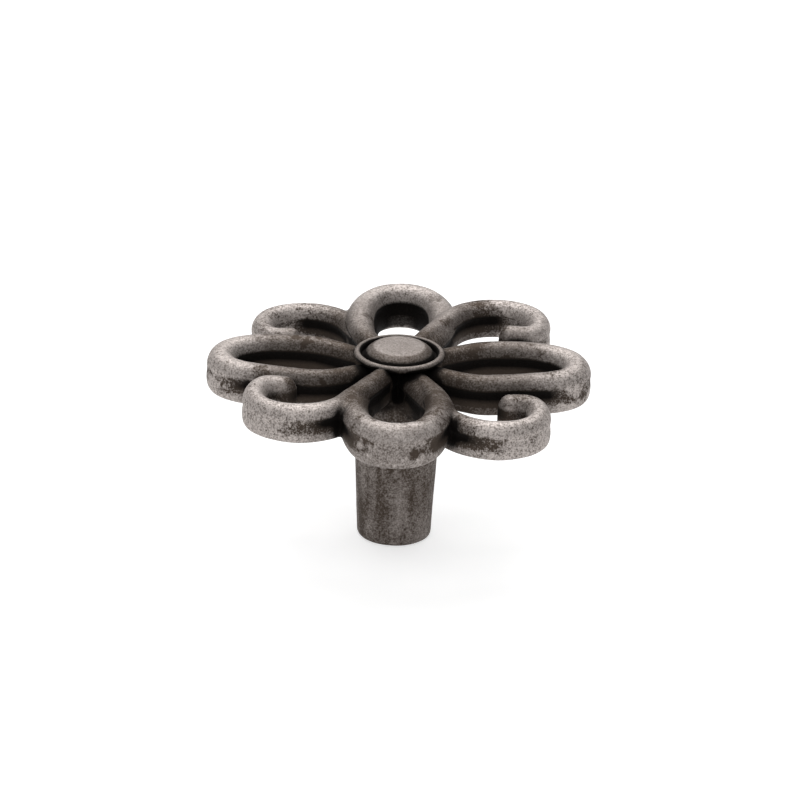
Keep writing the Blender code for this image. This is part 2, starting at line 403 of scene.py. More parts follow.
def scroll(turn, mirror, drop):
    """One scroll's line, in the +X +Y quarter unless it is mirrored."""
    root = root_place(SCROLL_ROOT_ANGLE)
    start = root_place(SCROLL_ROOT_ANGLE, ROOT_START)
    line = line_through([(*start, SCROLL_ROOT_ANGLE), (*root, SCROLL_ROOT_ANGLE), *SCROLL_WAY])
    rise = eased(line, root[0], SCROLL_ELBOW[0])
    full = [a * b for a, b in zip(rise, eased(line, *SCROLL_ARM_END))]
    side = Vector((mirror, 1.0, 1.0))
    return {"points": [Matrix.Rotation(turn, 3, "Z") @ (p * side) for p in line],
            "width": [blend(BAR_WIDTH, SCROLL_ARM_WIDTH, s) for s in full],
            "height": [BAR_HEIGHT] * len(line), "lean": [0.0] * len(line),
            "drop": [blend(max(drop, SCROLL_ROOT_DROP), drop, s) for s in rise],
            "groove": [blend(1.0, GROOVE_AT_SCROLL_END, s) for s in eased(line, *SCROLL_WORN)],
            "round_end": 1.0}


upper_scroll = scroll(0.0, mirror=1.0, drop=0.07)
lower_scroll = scroll(math.radians(-0.8), mirror=-1.0, drop=1.34)
print("points on a scroll:", len(upper_scroll["points"]))

# %% The four lines as one object
DUCK_SHARE = 1.3


def lines_object(name, bars):
    """A mesh of bare edges, which carries each bar's sizes as attributes of its points."""
    points, edges = [], []
    values = {"width_share": [], "height_share": [], "drop": [], "lean": [], "groove": [],
              "round_end": []}
    inside = RING_RADIUS - RING_LIP_WIDTH
    for bar in bars:
        first = len(points)
        count = len(bar["points"])
        points += [p * MM for p in bar["points"]]
        edges += [(first + k, first + k + 1) for k in range(count - 1)]
        values["width_share"] += [w / BAR_WIDTH for w in bar["width"]]
        values["height_share"] += [h / BAR_HEIGHT for h in bar["height"]]
        duck = [ease((RING_RADIUS - p.length) / (RING_RADIUS - inside)) for p in bar["points"]]
        values["drop"] += [max(d, GROOVE_DEPTH * s * DUCK_SHARE) * MM
                           for d, s in zip(bar["drop"], duck)]
        values["lean"] += bar["lean"]
        values["groove"] += bar["groove"]
        values["round_end"] += [0.0] * (count - 1) + [bar["round_end"]]
    mesh = bpy.data.meshes.new(name)
    mesh.from_pydata(points, edges, [])
    for key, numbers in values.items():
        mesh.attributes.new(key, "FLOAT", "POINT").data.foreach_set("value", numbers)
    return new_object(name, mesh)


rosette = lines_object("rosette", [slim_petal, full_petal, upper_scroll, lower_scroll])
print("edges in the four lines:", len(rosette.data.edges))

# %% [markdown]
# ## Bars that follow their lines
# A bar's section is an upright egg: full and round at the crest, widest at the shoulder and
# nearly flat underneath, as it leaves a two-part mould. Under the shoulder a shallow groove
# runs along each side, and below it the wall stays back a little, as a web. The rule for the
# egg is a circle whose sine and cosine are raised to a power, which squares the curve up. It
# could be drawn once and swept by a curve's bevel, but a bevel keeps one shape along the whole
# line. In Geometry Nodes, Curve to Mesh sweeps the section, and Set Position then stretches it
# by the sizes that each point carries. The inner walls of the full petals also lean inwards
# there. The free end of a scroll is the same section turned round: a sphere under the same
# rule. Last, each bar is set twice, half a turn apart.

# %% The section's rule
def section_rule(given, level, upright):
    """How far out and how high the skin lies, from a circle's level and upright shares."""
    above = upright > 0.0
    power = (above * (2.0 / given.out("Crest Power"))
             + (1.0 - above) * (2.0 / given.out("Underside Power")))
    shoulder = given.out("Bar Height") * given.out("Shoulder Share")
    semi_height = above * shoulder + (1.0 - above) * (given.out("Bar Height") - shoulder)
    out = level ** power * given.out("Bar Width") / 2.0
    up = upright.math("SIGN") * abs(upright) ** power * semi_height - shoulder
    return out, up


WEB_STARTS = (-0.2, 0.6)


def pinched(given, depth, strength):
    """The share of its width that the section keeps at a depth, for the groove and the web."""
    way = (depth - given.out("Groove Level")) / given.out("Groove Half Height")
    groove = (1.0 - way * way).kept()
    web = way.step(*WEB_STARTS)
    inward = groove * groove * given.out("Groove In") + web * given.out("Web In")
    return 1.0 - inward * strength / (given.out("Bar Width") / 2.0)


# %% The bars' tree
SECTION_POINTS = 64
END_RINGS = 48


def bars_tree():
    nodes, given = geometry_tree("bars along their lines", [
        "Bar Width", "Bar Height", "Shoulder Share", "Crest Power", "Underside Power",
        "Groove Level", "Groove Half Height", "Groove In", "Web In", "Lean From"])
    place = nodes.add("GeometryNodeInputPosition")
    x, y, z = nodes.parts(place)

    def depth_kept(part):
        return stored(nodes, part, "under_crest", (0.0 - z) / MM)

    circle = nodes.add("GeometryNodeCurvePrimitiveCircle", inputs={
        "Resolution": SECTION_POINTS, "Radius": 1.0})
    out, up = section_rule(given, abs(x), y)
    section = moved(nodes, circle, nodes.combine(x.math("SIGN") * out, 0.0 - up, 0.0))
    sided = stored(nodes, section, "across", x)
    lines = nodes.add("GeometryNodeMeshToCurve", inputs={"Mesh": given})
    swept = swept_along(nodes, stored(nodes, lines, "centre", place, "FLOAT_VECTOR"), sided)

    centre_x, centre_y, _ = nodes.parts(carried(nodes, "centre", "FLOAT_VECTOR"))
    drop = carried(nodes, "drop")
    leaning = (0.0 - z - given.out("Lean From")).math("MAXIMUM", 0.0) * 2.0
    inner_side = carried(nodes, "across") > 0.0
    lean = carried(nodes, "lean") * inner_side * leaning / given.out("Bar Width")
    pinch = pinched(given, 0.0 - z, carried(nodes, "groove"))
    width_share = carried(nodes, "width_share") * pinch + lean
    stretched = moved(nodes, depth_kept(swept), nodes.combine(
        centre_x + (x - centre_x) * width_share, centre_y + (y - centre_y) * width_share,
        z * carried(nodes, "height_share") - drop))

    ball = nodes.add("GeometryNodeMeshUVSphere", inputs={
        "Segments": SECTION_POINTS, "Rings": END_RINGS, "Radius": 1.0})
    level = (x * x + y * y).math("SQRT").kept(0.001, 1.0)
    out, up = section_rule(given, level, z)
    end = moved(nodes, ball, nodes.combine(x / level * out, y / level * out, up))
    ends = nodes.add("GeometryNodeInstanceOnPoints", inputs={
        "Points": given, "Selection": carried(nodes, "round_end"), "Instance": depth_kept(end)})
    lowered = nodes.add("GeometryNodeSetPosition", inputs={
        "Geometry": nodes.add("GeometryNodeRealizeInstances", inputs={"Geometry": ends}),
        "Offset": nodes.combine(0.0, 0.0, 0.0 - drop)})

    both = nodes.add("GeometryNodeJoinGeometry")
    for part in (lowered, stretched):
        nodes.tree.links.new(part.socket, both.socket.node.inputs["Geometry"])
    twins = nodes.add("GeometryNodeMeshLine", inputs={"Count": 2, "Offset": (0.0, 0.0, 0.0)})
    half_turn = nodes.add("GeometryNodeInputIndex") * math.pi
    pair = nodes.add("GeometryNodeInstanceOnPoints", inputs={
        "Points": twins, "Instance": both, "Rotation": nodes.combine(0.0, 0.0, half_turn)})
    return end_tree(nodes, given, pair)


rosette = run_tree(rosette, bars_tree(), {
    "Bar Width": BAR_WIDTH * MM, "Bar Height": BAR_HEIGHT * MM,
    "Shoulder Share": SHOULDER_SHARE, "Crest Power": CREST_POWER,
    "Underside Power": UNDERSIDE_POWER, "Groove Level": GROOVE_LEVEL * MM,
    "Groove Half Height": GROOVE_HALF_HEIGHT * MM, "Groove In": GROOVE_IN * MM,
    "Web In": WEB_IN * MM, "Lean From": LEAN_FROM * MM})
rosette.data.transform(Matrix.Translation((0.0, 0.0, KNOB_HEIGHT * MM)))
print("rosette faces:", len(rosette.data.polygons))

# %% [markdown]
# ## Turned forms
# The stem, the ring and the button are round about one axis, so each is half an outline spun
# about it. The stem tapers from its rounded foot up to a rounded shoulder under the head, and a
# narrower core goes on from there to the ring, so that the dark pockets between the bars' roots
# stay open.

# %% Spinning an outline
def arc(centre, radius, start, end, steps):
    """Points of an arc in the outline, from one angle to another."""
    angles = [blend(start, end, k / steps) for k in range(steps + 1)]
    return [(centre[0] + radius * math.cos(a), centre[1] + radius * math.sin(a)) for a in angles]


def spun(name, outline, steps):
    """An outline of (radius, height) points turned about the axis as a closed body."""
    shape = bmesh.new()
    points = [shape.verts.new((x * MM, 0.0, z * MM)) for x, z in outline]
    edges = [shape.edges.new(pair) for pair in zip(points, points[1:])]
    bmesh.ops.spin(shape, geom=points + edges, cent=(0, 0, 0), axis=(0, 0, 1),
                   angle=2.0 * math.pi, steps=steps, use_merge=True)
    bmesh.ops.remove_doubles(shape, verts=shape.verts, dist=0.001 * MM)
    bmesh.ops.recalc_face_normals(shape, faces=shape.faces)
    mesh = bpy.data.meshes.new(name)
    shape.to_mesh(mesh)
    shape.free()
    return new_object(name, mesh)


TURNED_STEPS = 160
CORNER_STEPS = 8
CORE_FILLET = 0.2
foot_corner = (FOOT_RADIUS - FOOT_EDGE_RADIUS, FOOT_EDGE_RADIUS)
stem_top = KNOB_HEIGHT - RING_LIP_HEIGHT
shoulder_low = SHOULDER_HEIGHT - SHOULDER_RADIUS
shoulder_out = blend(FOOT_RADIUS, STEM_TOP_RADIUS, shoulder_low / stem_top) - SHOULDER_RADIUS
foot = arc(foot_corner, FOOT_EDGE_RADIUS, -math.pi / 2.0, 0.0, CORNER_STEPS)
shoulder = arc((shoulder_out, shoulder_low), SHOULDER_RADIUS, 0.0, math.pi / 2.0, CORNER_STEPS)
core = [(CORE_RADIUS, SHOULDER_HEIGHT + CORE_FILLET), (CORE_RADIUS, stem_top), (0.0, stem_top)]
stem = spun("stem", [(0.0, 0.0)] + foot + shoulder + core, TURNED_STEPS)
print("stem faces:", len(stem.data.polygons))

# %% [markdown]
# ## One casting
# Molten metal has no seams: where bars cross or reach the stem, the mould leaves a small soft
# fillet. A Boolean would join the bars with sharp creases. A voxel remesh joins them too, and
# gives one even skin of small squares that can be softened afterwards.

# %% Joining bars and stem
VOXEL = 0.17 * MM


def joined(name, things):
    """One object that holds all the meshes."""
    shape = bmesh.new()
    for thing in things:
        shape.from_mesh(thing.data)
    mesh = bpy.data.meshes.new(name)
    shape.to_mesh(mesh)
    shape.free()
    return new_object(name, mesh)


casting = joined("cast_knob", [rosette, stem])
remesh = casting.modifiers.new("one skin", "REMESH")
remesh.mode = "VOXEL"
remesh.voxel_size = VOXEL
remesh.use_smooth_shade = True
casting = settle(casting)
print("skin faces:", len(casting.data.polygons))

# %% [markdown]
# ## Fillets and the slight unevenness of a casting
# A point lies in a crease when its neighbourhood's average lies outside it. Blurring positions
# there, and hardly anywhere else, rounds the creases into fillets and keeps the bars full. Then
# the skin is moved by a few hundredths of a millimetre in slow waves, because nothing cast is
# quite true, and what that pushed under the foot's flat face is brought back to it. Last,
# Decimate spends fewer triangles where the skin is flat.

# %% Softening tree
EVENING_PASSES = 2
HOLLOW_PASSES = 6
SPREAD_PASSES = 4


def softening_tree():
    nodes, given = geometry_tree("soften the creases", [
        "Crease Passes", "Crease Gain", "Wave Height", "Wave Scale"])
    place = nodes.add("GeometryNodeInputPosition")
    normal = nodes.add("GeometryNodeInputNormal")

    def blurred_place(passes, weight=1.0):
        return blurred(nodes, place, passes, weight, "FLOAT_VECTOR")

    evened = moved(nodes, given, blurred_place(EVENING_PASSES))
    away = nodes.vector("SUBTRACT", blurred_place(HOLLOW_PASSES), place)
    hollow = nodes.vector("DOT_PRODUCT", away, normal, output="Value") / MM
    marked = stored(nodes, evened, "crease", (hollow * given.out("Crease Gain")).kept())
    spread = blurred(nodes, carried(nodes, "crease"), SPREAD_PASSES).kept()
    soft = moved(nodes, marked, blurred_place(given.out("Crease Passes"), spread))
    wave = nodes.add("ShaderNodeTexNoise", {"noise_dimensions": "3D"}, {
        "Vector": place, "Scale": given.out("Wave Scale"), "Detail": 1.0}, output="Fac")
    uneven = nodes.add("GeometryNodeSetPosition", inputs={
        "Geometry": soft,
        "Offset": nodes.scaled(normal, (wave - 0.5) * given.out("Wave Height"))})
    x, y, z = nodes.parts(place)
    flat_foot = moved(nodes, uneven, nodes.combine(x, y, z.math("MAXIMUM", 0.0)))
    return end_tree(nodes, given, flat_foot)


casting = run_tree(casting, softening_tree(), {
    "Crease Passes": 3.0, "Crease Gain": 30.0, "Wave Height": 0.09 * MM, "Wave Scale": 330.0})
print("softened skin points:", len(casting.data.vertices))

# %% Fewer triangles
SKIN_TRIANGLES = 160000

fewer = casting.modifiers.new("fewer", "DECIMATE")
fewer.ratio = SKIN_TRIANGLES / (2.0 * len(casting.data.polygons))
casting = settle(casting)
print("faces kept:", len(casting.data.polygons))

# %% [markdown]
# ## Ring, button and screw hole
# The ring's lip and the groove round the button are the finest forms of the head, too fine for
# the skin's squares, so they are spun separately and joined to the skin by a Boolean, which
# keeps them crisp. A second one drills the screw hole.

# %% Ring and button
RING_UNDER_CHAMFER = 0.3
GROOVE_FLOOR_FILLET = 0.15
LIP_STEPS = 16
CROWN_STEPS = 14
BUTTON_SIDE_HEADINGS = (math.radians(127.0), math.radians(151.0))
BUTTON_SIDE_STRIDE = 6


def ring_outline():
    """From under the ring, over its lip, down the groove and up over the button to the axis."""
    half = RING_LIP_WIDTH / 2.0
    groove_outer = RING_RADIUS - RING_LIP_WIDTH
    button_rim = groove_outer - GROOVE_WIDTH
    floor = KNOB_HEIGHT - GROOVE_DEPTH
    table = KNOB_HEIGHT + BUTTON_RISE - BUTTON_CROWN
    under = KNOB_HEIGHT - RING_THICKNESS
    outline = [(0.0, under), (RING_RADIUS - RING_UNDER_CHAMFER, under),
               (RING_RADIUS - 0.08, under + 0.08), (RING_RADIUS, under + RING_UNDER_CHAMFER)]
    outline += arc((RING_RADIUS - half, KNOB_HEIGHT - half), half, 0.0, math.pi, LIP_STEPS)
    outline += [(groove_outer, floor + GROOVE_FLOOR_FILLET), (groove_outer - 0.05, floor + 0.04),
                (groove_outer - GROOVE_FLOOR_FILLET, floor), (button_rim + 0.12, floor),
                (button_rim + 0.02, floor + 0.08)]
    first, last = BUTTON_SIDE_HEADINGS
    side = span((button_rim, table - BUTTON_RIM_DROP, first), (BUTTON_TABLE_RADIUS, table, last))
    outline += [(p.x, p.y) for p in side[::BUTTON_SIDE_STRIDE]]
    crown = [blend(1.0, 0.0, k / CROWN_STEPS) for k in range(1, CROWN_STEPS + 1)]
    return outline + [(s * BUTTON_TABLE_RADIUS, table + BUTTON_CROWN * (1.0 - s * s))
                      for s in crown]


ring = spun("ring", ring_outline(), TURNED_STEPS)
print("ring and button faces:", len(ring.data.polygons))

# %% Screw hole
HOLE_STEPS = 96
BELOW_FOOT = 1.0

mouth = HOLE_RADIUS + HOLE_MOUTH_CHAMFER
hole = spun("hole", [(0.0, -BELOW_FOOT), (mouth + BELOW_FOOT, -BELOW_FOOT),
                     (HOLE_RADIUS, HOLE_MOUTH_CHAMFER), (HOLE_RADIUS, HOLE_DEPTH),
                     (0.0, HOLE_DEPTH + HOLE_POINT_HEIGHT)], HOLE_STEPS)
print("hole faces:", len(hole.data.polygons))

# %% Boolean joins
for tool, operation in ((ring, "UNION"), (hole, "DIFFERENCE")):
    cut = casting.modifiers.new(tool.name, "BOOLEAN")
    cut.object = tool
    cut.operation = operation
    cut.solver = "MANIFOLD"
casting = settle(casting)
for tool in (ring, hole):
    bpy.data.objects.remove(tool, do_unlink=True)
print("faces with ring and hole:", len(casting.data.polygons))

# %% [markdown]
# ## Cleaning after the cuts
# After Decimate and the Booleans a few loose flaps of two faces, with no thickness, were left
# beside the skin. They don't show in a render, but the mesh is used by itself as well. Points
# closer than a few thousandths of a millimetre are joined and the flaps are taken out. Four
# rounds then look for an edge that doesn't have exactly two faces and close the skin again
# round it. Each prints how many it found: here that is none, so they are only a safeguard.

# %% Cleaning
WELD = 0.004
CLEANING_ROUNDS = 4


def doubled_faces(work):
    """Faces that lie on one another: flaps with no thickness."""
    met = {}
    for face in work.faces:
        met.setdefault(frozenset(face.verts), []).append(face)
    return [face for same in met.values() if len(same) > 1 for face in same]


def cleaned(thing):
    """Join points that coincide and close the skin again where that leaves flaps or slivers."""
    work = bmesh.new()
    work.from_mesh(thing.data)
    bmesh.ops.remove_doubles(work, verts=work.verts, dist=WELD * MM)
    bmesh.ops.dissolve_degenerate(work, edges=work.edges, dist=WELD * MM)
    bmesh.ops.triangulate(work, faces=work.faces)
    for _ in range(CLEANING_ROUNDS):
        bmesh.ops.delete(work, geom=doubled_faces(work), context="FACES")
        bad = [edge for edge in work.edges if not edge.is_manifold]
        around = {face for edge in bad for v in edge.verts for face in v.link_faces}
        bmesh.ops.delete(work, geom=list(around), context="FACES")
        bmesh.ops.delete(work, geom=[v for v in work.verts if not v.link_faces], context="VERTS")
        rims = [edge for edge in work.edges if edge.is_boundary]
        bmesh.ops.holes_fill(work, edges=rims, sides=0)
        bmesh.ops.triangulate(work, faces=work.faces)
        print("skin closed again round", len(bad), "edges")
    bmesh.ops.recalc_face_normals(work, faces=work.faces)
    work.to_mesh(thing.data)
    work.free()


cleaned(casting)
casting.data.calc_loop_triangles()
print("triangles in the closed skin:", len(casting.data.loop_triangles))

# %% [markdown]
# ## Thread
# A machine screw from behind the door holds the knob, so the hole has a thread. A thread is one
# small ridge that follows a spiral: Geometry Nodes has the Spiral as a curve, and Curve to Mesh
# sweeps a three-cornered section along it.

# %% Thread along a spiral
THREAD_PITCH = 0.7
THREAD_DEPTH = 0.4
THREAD_START = 1.0
RIDGE_OUT_SHARE = 0.66
RIDGE_UP_SHARE = 0.46
STEPS_A_TURN = 40


def thread_tree():
    nodes, given = geometry_tree("thread", ["Pitch", "Depth", "Radius", "Length"])
    spiral = nodes.add("GeometryNodeCurveSpiral", inputs={
        "Resolution": STEPS_A_TURN, "Rotations": given.out("Length") / given.out("Pitch"),
        "Start Radius": given.out("Radius"), "End Radius": given.out("Radius"),
        "Height": given.out("Length")})
    x, y, z = nodes.parts(nodes.add("GeometryNodeInputPosition"))
    triangle = nodes.add("GeometryNodeCurvePrimitiveCircle", inputs={
        "Resolution": 3, "Radius": 1.0})
    section = moved(nodes, triangle, nodes.combine(
        x * given.out("Depth") * RIDGE_OUT_SHARE, y * given.out("Pitch") * RIDGE_UP_SHARE, 0.0))
    return end_tree(nodes, given, swept_along(nodes, spiral, section))


thread = new_object("screw_thread", bpy.data.meshes.new("screw_thread"))
thread = run_tree(thread, thread_tree(), {
    "Pitch": THREAD_PITCH * MM, "Depth": THREAD_DEPTH * MM, "Radius": HOLE_RADIUS * MM,
    "Length": (HOLE_DEPTH - 2.0 * THREAD_START) * MM})
thread.data.transform(Matrix.Translation((0.0, 0.0, THREAD_START * MM)))
print("thread faces:", len(thread.data.polygons))

# %% [markdown]
# ## Depth under the crest
# The groove and the web lie at a given depth under a bar's crest, and the finish differs there.
# Each bar's own mesh knows that depth, but the remesh made new points that don't. So every
# point of the skin takes the value of the nearest spot on the bars, which are thrown away after
# that.

# %% Depth tree
def depth_tree(bars):
    nodes, given = geometry_tree("depth under the crest", [])
    source = nodes.add("GeometryNodeObjectInfo", inputs={"Object": bars}, output="Geometry")
    nearest = nodes.add("GeometryNodeSampleNearestSurface", {"data_type": "FLOAT"}, {
        "Mesh": source, "Value": carried(nodes, "under_crest")})
    return end_tree(nodes, given, stored(nodes, given, "under_crest", nearest))


def print_range(thing, attribute):
    values = [item.value for item in thing.data.attributes[attribute].data]
    print(attribute, "from", round(min(values), 2), "to", round(max(values), 2))


casting = run_tree(casting, depth_tree(rosette), {})
for thing in (rosette, stem):
    bpy.data.objects.remove(thing, do_unlink=True)
print_range(casting, "under_crest")

# %% [markdown]
# ## Where dirt and painted shade stay, and where hands rub
# The dark finish of an antiqued casting is brushed on and wiped off: it stays where a cloth
# can't reach and is gone from what stands proud. The darkening there is partly that patina and
# partly painted shade, for the shade that falls in the same recesses. Where it lies is found by
# sending rays out from each point of the skin: the share that meets metal says how sheltered
# the point is. Geometry Nodes does that for the whole skin at once, in a Repeat zone with one
# ray per pass, and stores the result on the mesh, where the finish can read it. Long rays find
# the sheltered sides of whole bars, and short ones find the crevices.

# %% Shelter tree
SHELTER_RAYS = 40
SHELTER_BLUR = 3


def shelter_tree(attribute):
    nodes, given = geometry_tree(attribute, ["Reach", "Lift"])
    place = nodes.add("GeometryNodeInputPosition")
    normal = nodes.add("GeometryNodeInputNormal")

    opening = nodes.tree.nodes.new("GeometryNodeRepeatInput")
    closing = nodes.tree.nodes.new("GeometryNodeRepeatOutput")
    opening.pair_with_output(closing)
    closing.repeat_items.new("INT", "Pass")
    opening.inputs["Iterations"].default_value = SHELTER_RAYS
    start = stored(nodes, given, attribute, 0.0)
    nodes.tree.links.new(start.socket, opening.inputs["Geometry"])
    passing = Wire(opening.outputs["Geometry"])
    count = Wire(opening.outputs["Pass"])

    loose = nodes.add("FunctionNodeRandomValue", {"data_type": "FLOAT_VECTOR"}, {
        0: (-1.0, -1.0, -1.0), 1: (1.0, 1.0, 1.0), "Seed": count})
    aim = nodes.vector("ADD", normal, nodes.vector("NORMALIZE", loose, (0.0, 0.0, 0.0)))
    lifted = nodes.vector("ADD", place, nodes.scaled(normal, given.out("Lift")))
    ray = nodes.add("GeometryNodeRaycast", inputs={
        "Target Geometry": passing, "Source Position": lifted, "Ray Direction": aim,
        "Ray Length": given.out("Reach")})
    tally = carried(nodes, attribute) + ray * (1.0 / SHELTER_RAYS)
    nodes.tree.links.new(stored(nodes, passing, attribute, tally).socket,
                         closing.inputs["Geometry"])
    nodes.tree.links.new((count + 1.0).socket, closing.inputs["Pass"])

    evened = blurred(nodes, carried(nodes, attribute), SHELTER_BLUR)
    after = Wire(closing.outputs["Geometry"])
    return end_tree(nodes, given, stored(nodes, after, attribute, evened))


# %% Shelter and crevices
RAY_REACH = {"shelter": 9.0, "crevice": 1.4}
RAY_LIFT = 0.03

for attribute, reach in RAY_REACH.items():
    casting = run_tree(casting, shelter_tree(attribute), {
        "Reach": reach * MM, "Lift": RAY_LIFT * MM})
    print_range(casting, attribute)

# %% Smooth shading
SHARP_ANGLE = math.radians(50.0)

casting.data.shade_smooth()
casting.data.set_sharp_from_angle(angle=SHARP_ANGLE)
print("sharp edges:", sum(edge.use_edge_sharp for edge in casting.data.edges))

# %% [markdown]
# ## Weathered pewter
# Under the dark finish is dull pewter-coloured metal. The colour runs from nearly black where
# the skin is sheltered, through brown-grey on the walls, to pale pewter on the crests and tips.
# The near black is partly patina and partly painted shade, and some zones are painted lighter
# or darker for how light falls on them.
# Over that lie cloudy patches, brown stains, a sandy grain as fine as the casting's skin, and
# on the stem faint streaks that run lengthwise. The grain also breaks up the gloss, and it
# stands up a little as bump. A picture could be wrapped round the knob instead, but measures
# and noise need no unwrapping and stay sharp at any distance.

# %% What the finish measures
EVEN = (1.0, 1.0, 1.0)
LENGTHWISE = (1.0, 1.0, 0.2)
NOISES = {"grain": (5200.0, 1.5, 0.5, EVEN), "coarse": (2400.0, 2.0, 0.5, EVEN),
          "cloud": (330.0, 3.0, 0.5, EVEN), "flake": (620.0, 4.0, 0.5, EVEN),
          "stain": (260.0, 4.0, 0.62, EVEN), "streak": (800.0, 3.0, 0.5, LENGTHWISE)}
ATTRIBUTES = {"shelter": "shelter", "crevice": "crevice", "under": "under_crest"}


def measured(nodes):
    """Where a point lies in millimetres, what it carries, and noise at the skin's own scales."""
    place = nodes.add("ShaderNodeTexCoord").out("Object")
    x, y, z = nodes.parts(place)
    found = {"out": (x * x + y * y).math("SQRT") / MM, "down": KNOB_HEIGHT - z / MM,
             "side": abs(x) / MM, "along": abs(y) / MM, "back": y / MM}
    for name, attribute in ATTRIBUTES.items():
        found[name] = nodes.add("ShaderNodeAttribute", {"attribute_name": attribute}).out("Fac")
    for name, (scale, detail, roughness, stretch) in NOISES.items():
        mapped = nodes.add("ShaderNodeMapping", inputs={"Vector": place, "Scale": stretch})
        found[name] = nodes.add("ShaderNodeTexNoise", {"noise_dimensions": "3D"}, {
            "Vector": mapped, "Scale": scale, "Detail": detail, "Roughness": roughness})
    return found


# %% [markdown]
# ## Zones of the finish
# Each region of the knob wore in its own way, and some zones also carry painted light and
# shade. A zone is a mask, made as a product of rules. A rule is a measure with the value at
# which the zone is empty and the one at which it is full, and the mask fades between them;
# where the first is the larger, the zone lies on the lower side. A name by itself is a zone
# that was made before. The second table holds the zones whose edges noise makes ragged.

# %% Zones
ZONES = {
    "stem": [("down", 5.3, 6.0)],
    "bars": [("stem", 1.0, 0.0), ("out", 5.0, 5.4)],
    "head": [("down", 0.6, 0.3), ("out", 5.4, 5.2)],
    "outward": [("out", 5.0, 17.0)],
    "tips": [("out", 15.5, 20.5)],
    "slim tips": [("side", 16.0, 20.0)],
    "curls": [("side", 11.0, 12.5), ("along", 6.9, 7.6)],
    "curls' inner walls": ["curls", ("under", 0.8, 1.4)],
    "arms": [("side", 6.0, 7.5), ("side", 13.5, 11.0), ("along", 12.0, 14.0)],
    "back arms": ["arms", ("back", 6.0, 9.0)],
    "back petal": [("back", 6.0, 9.0), ("side", 6.8, 5.8)],
    "front petal": [("back", -9.0, -13.0), ("side", 7.5, 5.5)],
    "front tip": ["front petal", "tips"],
    "groove": ["bars", ("under", 1.2, 1.6), ("under", 2.8, 2.3)],
    "web": ["bars", ("under", 1.3, 2.0)],
    "web by hub": ["web", ("out", 10.5, 7.5)],
    "web of back petal": ["web", "back petal"],
    "hole walls": ["web", ("side", 4.6, 3.8), ("out", 19.0, 15.5), ("along", 6.0, 8.0)],
    "low": ["bars", ("under", 2.2, 2.9)],
    "sheltered": [("curls", 1.25, 0.0), ("shelter", 0.03, 0.24)],
    "low and sheltered": ["low", "sheltered"],
    # Crevices are darkened as patina and painted shade.
    "crevice patina and shade": [("crevice", 0.05, 0.32)],
}
RAGGED_ZONES = {
    "table": [("down", -0.4, -0.5), ("ragged out", 3.1, 2.85)],
    "bevel": ["head", ("table", 1.0, 0.0), ("out", 4.1, 3.9)],
    "flakes": ["tips", ("flake", 0.55, 0.60)],
    "patches": ["bars", ("under", 1.2, 1.6), ("under", 3.4, 2.9), ("patchy", 0.48, 0.54)],
    "stains": ["bars", ("stained", 0.54, 0.60), ("groove", 1.0, 0.0), ("out", 7.5, 11.0)],
}
RAGGED_RIM = 0.6
PATCHES_ON_ARMS = 0.24
STAINS_ON_BACK_ARMS = 0.05


def add_zones(found, zones):
    """Make each zone's mask, the product of its rules."""
    for name, rules in zones.items():
        masks = [found[rule] if isinstance(rule, str) else found[rule[0]].step(*rule[1:])
                 for rule in rules]
        found[name] = math.prod(masks[1:], start=masks[0])


def zoned(nodes):
    """All measures, noises and zones by name."""
    found = measured(nodes)
    add_zones(found, ZONES)
    found["ragged out"] = found["out"] + (found["coarse"] - 0.5) * RAGGED_RIM
    found["patchy"] = found["cloud"] + found["shelter"] + found["arms"] * PATCHES_ON_ARMS
    found["stained"] = found["stain"] + found["back arms"] * STAINS_ON_BACK_ARMS
    add_zones(found, RAGGED_ZONES)
    return found


print("zones:", len(ZONES) + len(RAGGED_ZONES))

# %% [markdown]
# ## From zones to colour
# How far a spot is worn is a sum, and some of its amounts are painted light and shade: each
# zone adds or takes its own amount, and noise goes on top. The soot and painted shade in the
# recesses are a second sum, which covers the first. The amounts were set one zone at a time,
# until small regions of the render came near the brightness of the same regions in the
# photograph, so they fit that one picture and its light.

# %% Amounts
# Painted light and shade among these amounts: the back petal is lighter and the front petal darker
# for how light falls on them, the bevel is painted shade on the button's front slope, the curls
# and their inner walls are painted light in the shade that the curls cast, the web is darker
# partly as painted shade under the crest, and the low sheltered walls are lighter partly as
# painted reflection of the floor. The rest is wear, patches and stains.
RUBBED_AND_PAINTED_LIGHT = {"outward": 0.33, "tips": 0.5, "slim tips": 0.14, "head": 0.3, "table": 0.14,
          "bevel": -0.16, "stem": 0.19, "curls": 0.12, "curls' inner walls": 0.3,
          "back arms": -0.16, "back petal": 0.22, "front petal": -0.22, "web": -0.14,
          "low and sheltered": 0.1, "flakes": 0.25, "patches": -0.7, "stains": -0.34}
RUBBED_AND_PAINTED_LIGHT_LIMITS = (-0.2, 0.78)
CLOUDS = {"cloud": 0.3}
SPECKLE = {"coarse": 1.1, "grain": 1.8}
SPECKLE_EVERYWHERE = 0.3
SPECKLE_MORE = {"tips": 0.8, "stem": 0.2, "bars": 0.1, "front tip": -0.5}
STEM_STREAKS = {"streak": 0.9, "stain": 0.5}
# The soot is partly patina and partly painted shade: the groove, the web, the web by the hub, the
# web in the back petal and the hole walls are darkened where shade falls.
SOOT_AND_SHADE_EVERYWHERE = 0.3
SOOT_AND_SHADE_MORE = {"groove": 0.7, "web": 0.24, "web by hub": 0.5, "web of back petal": 0.3}
# Less of it on the low walls, partly wiped off and partly painted reflection of the floor.
SOOT_AND_SHADE_LIFTED_LOW = 0.6
SOOT_AND_SHADE_KEPT_ON_BACK_ARMS = 0.6
SOOT_AND_SHADE_IN_HOLES = 0.6
WALLS = (0.088, 0.067, 0.053, 1.0)
PALE = (0.62, 0.565, 0.535, 1.0)
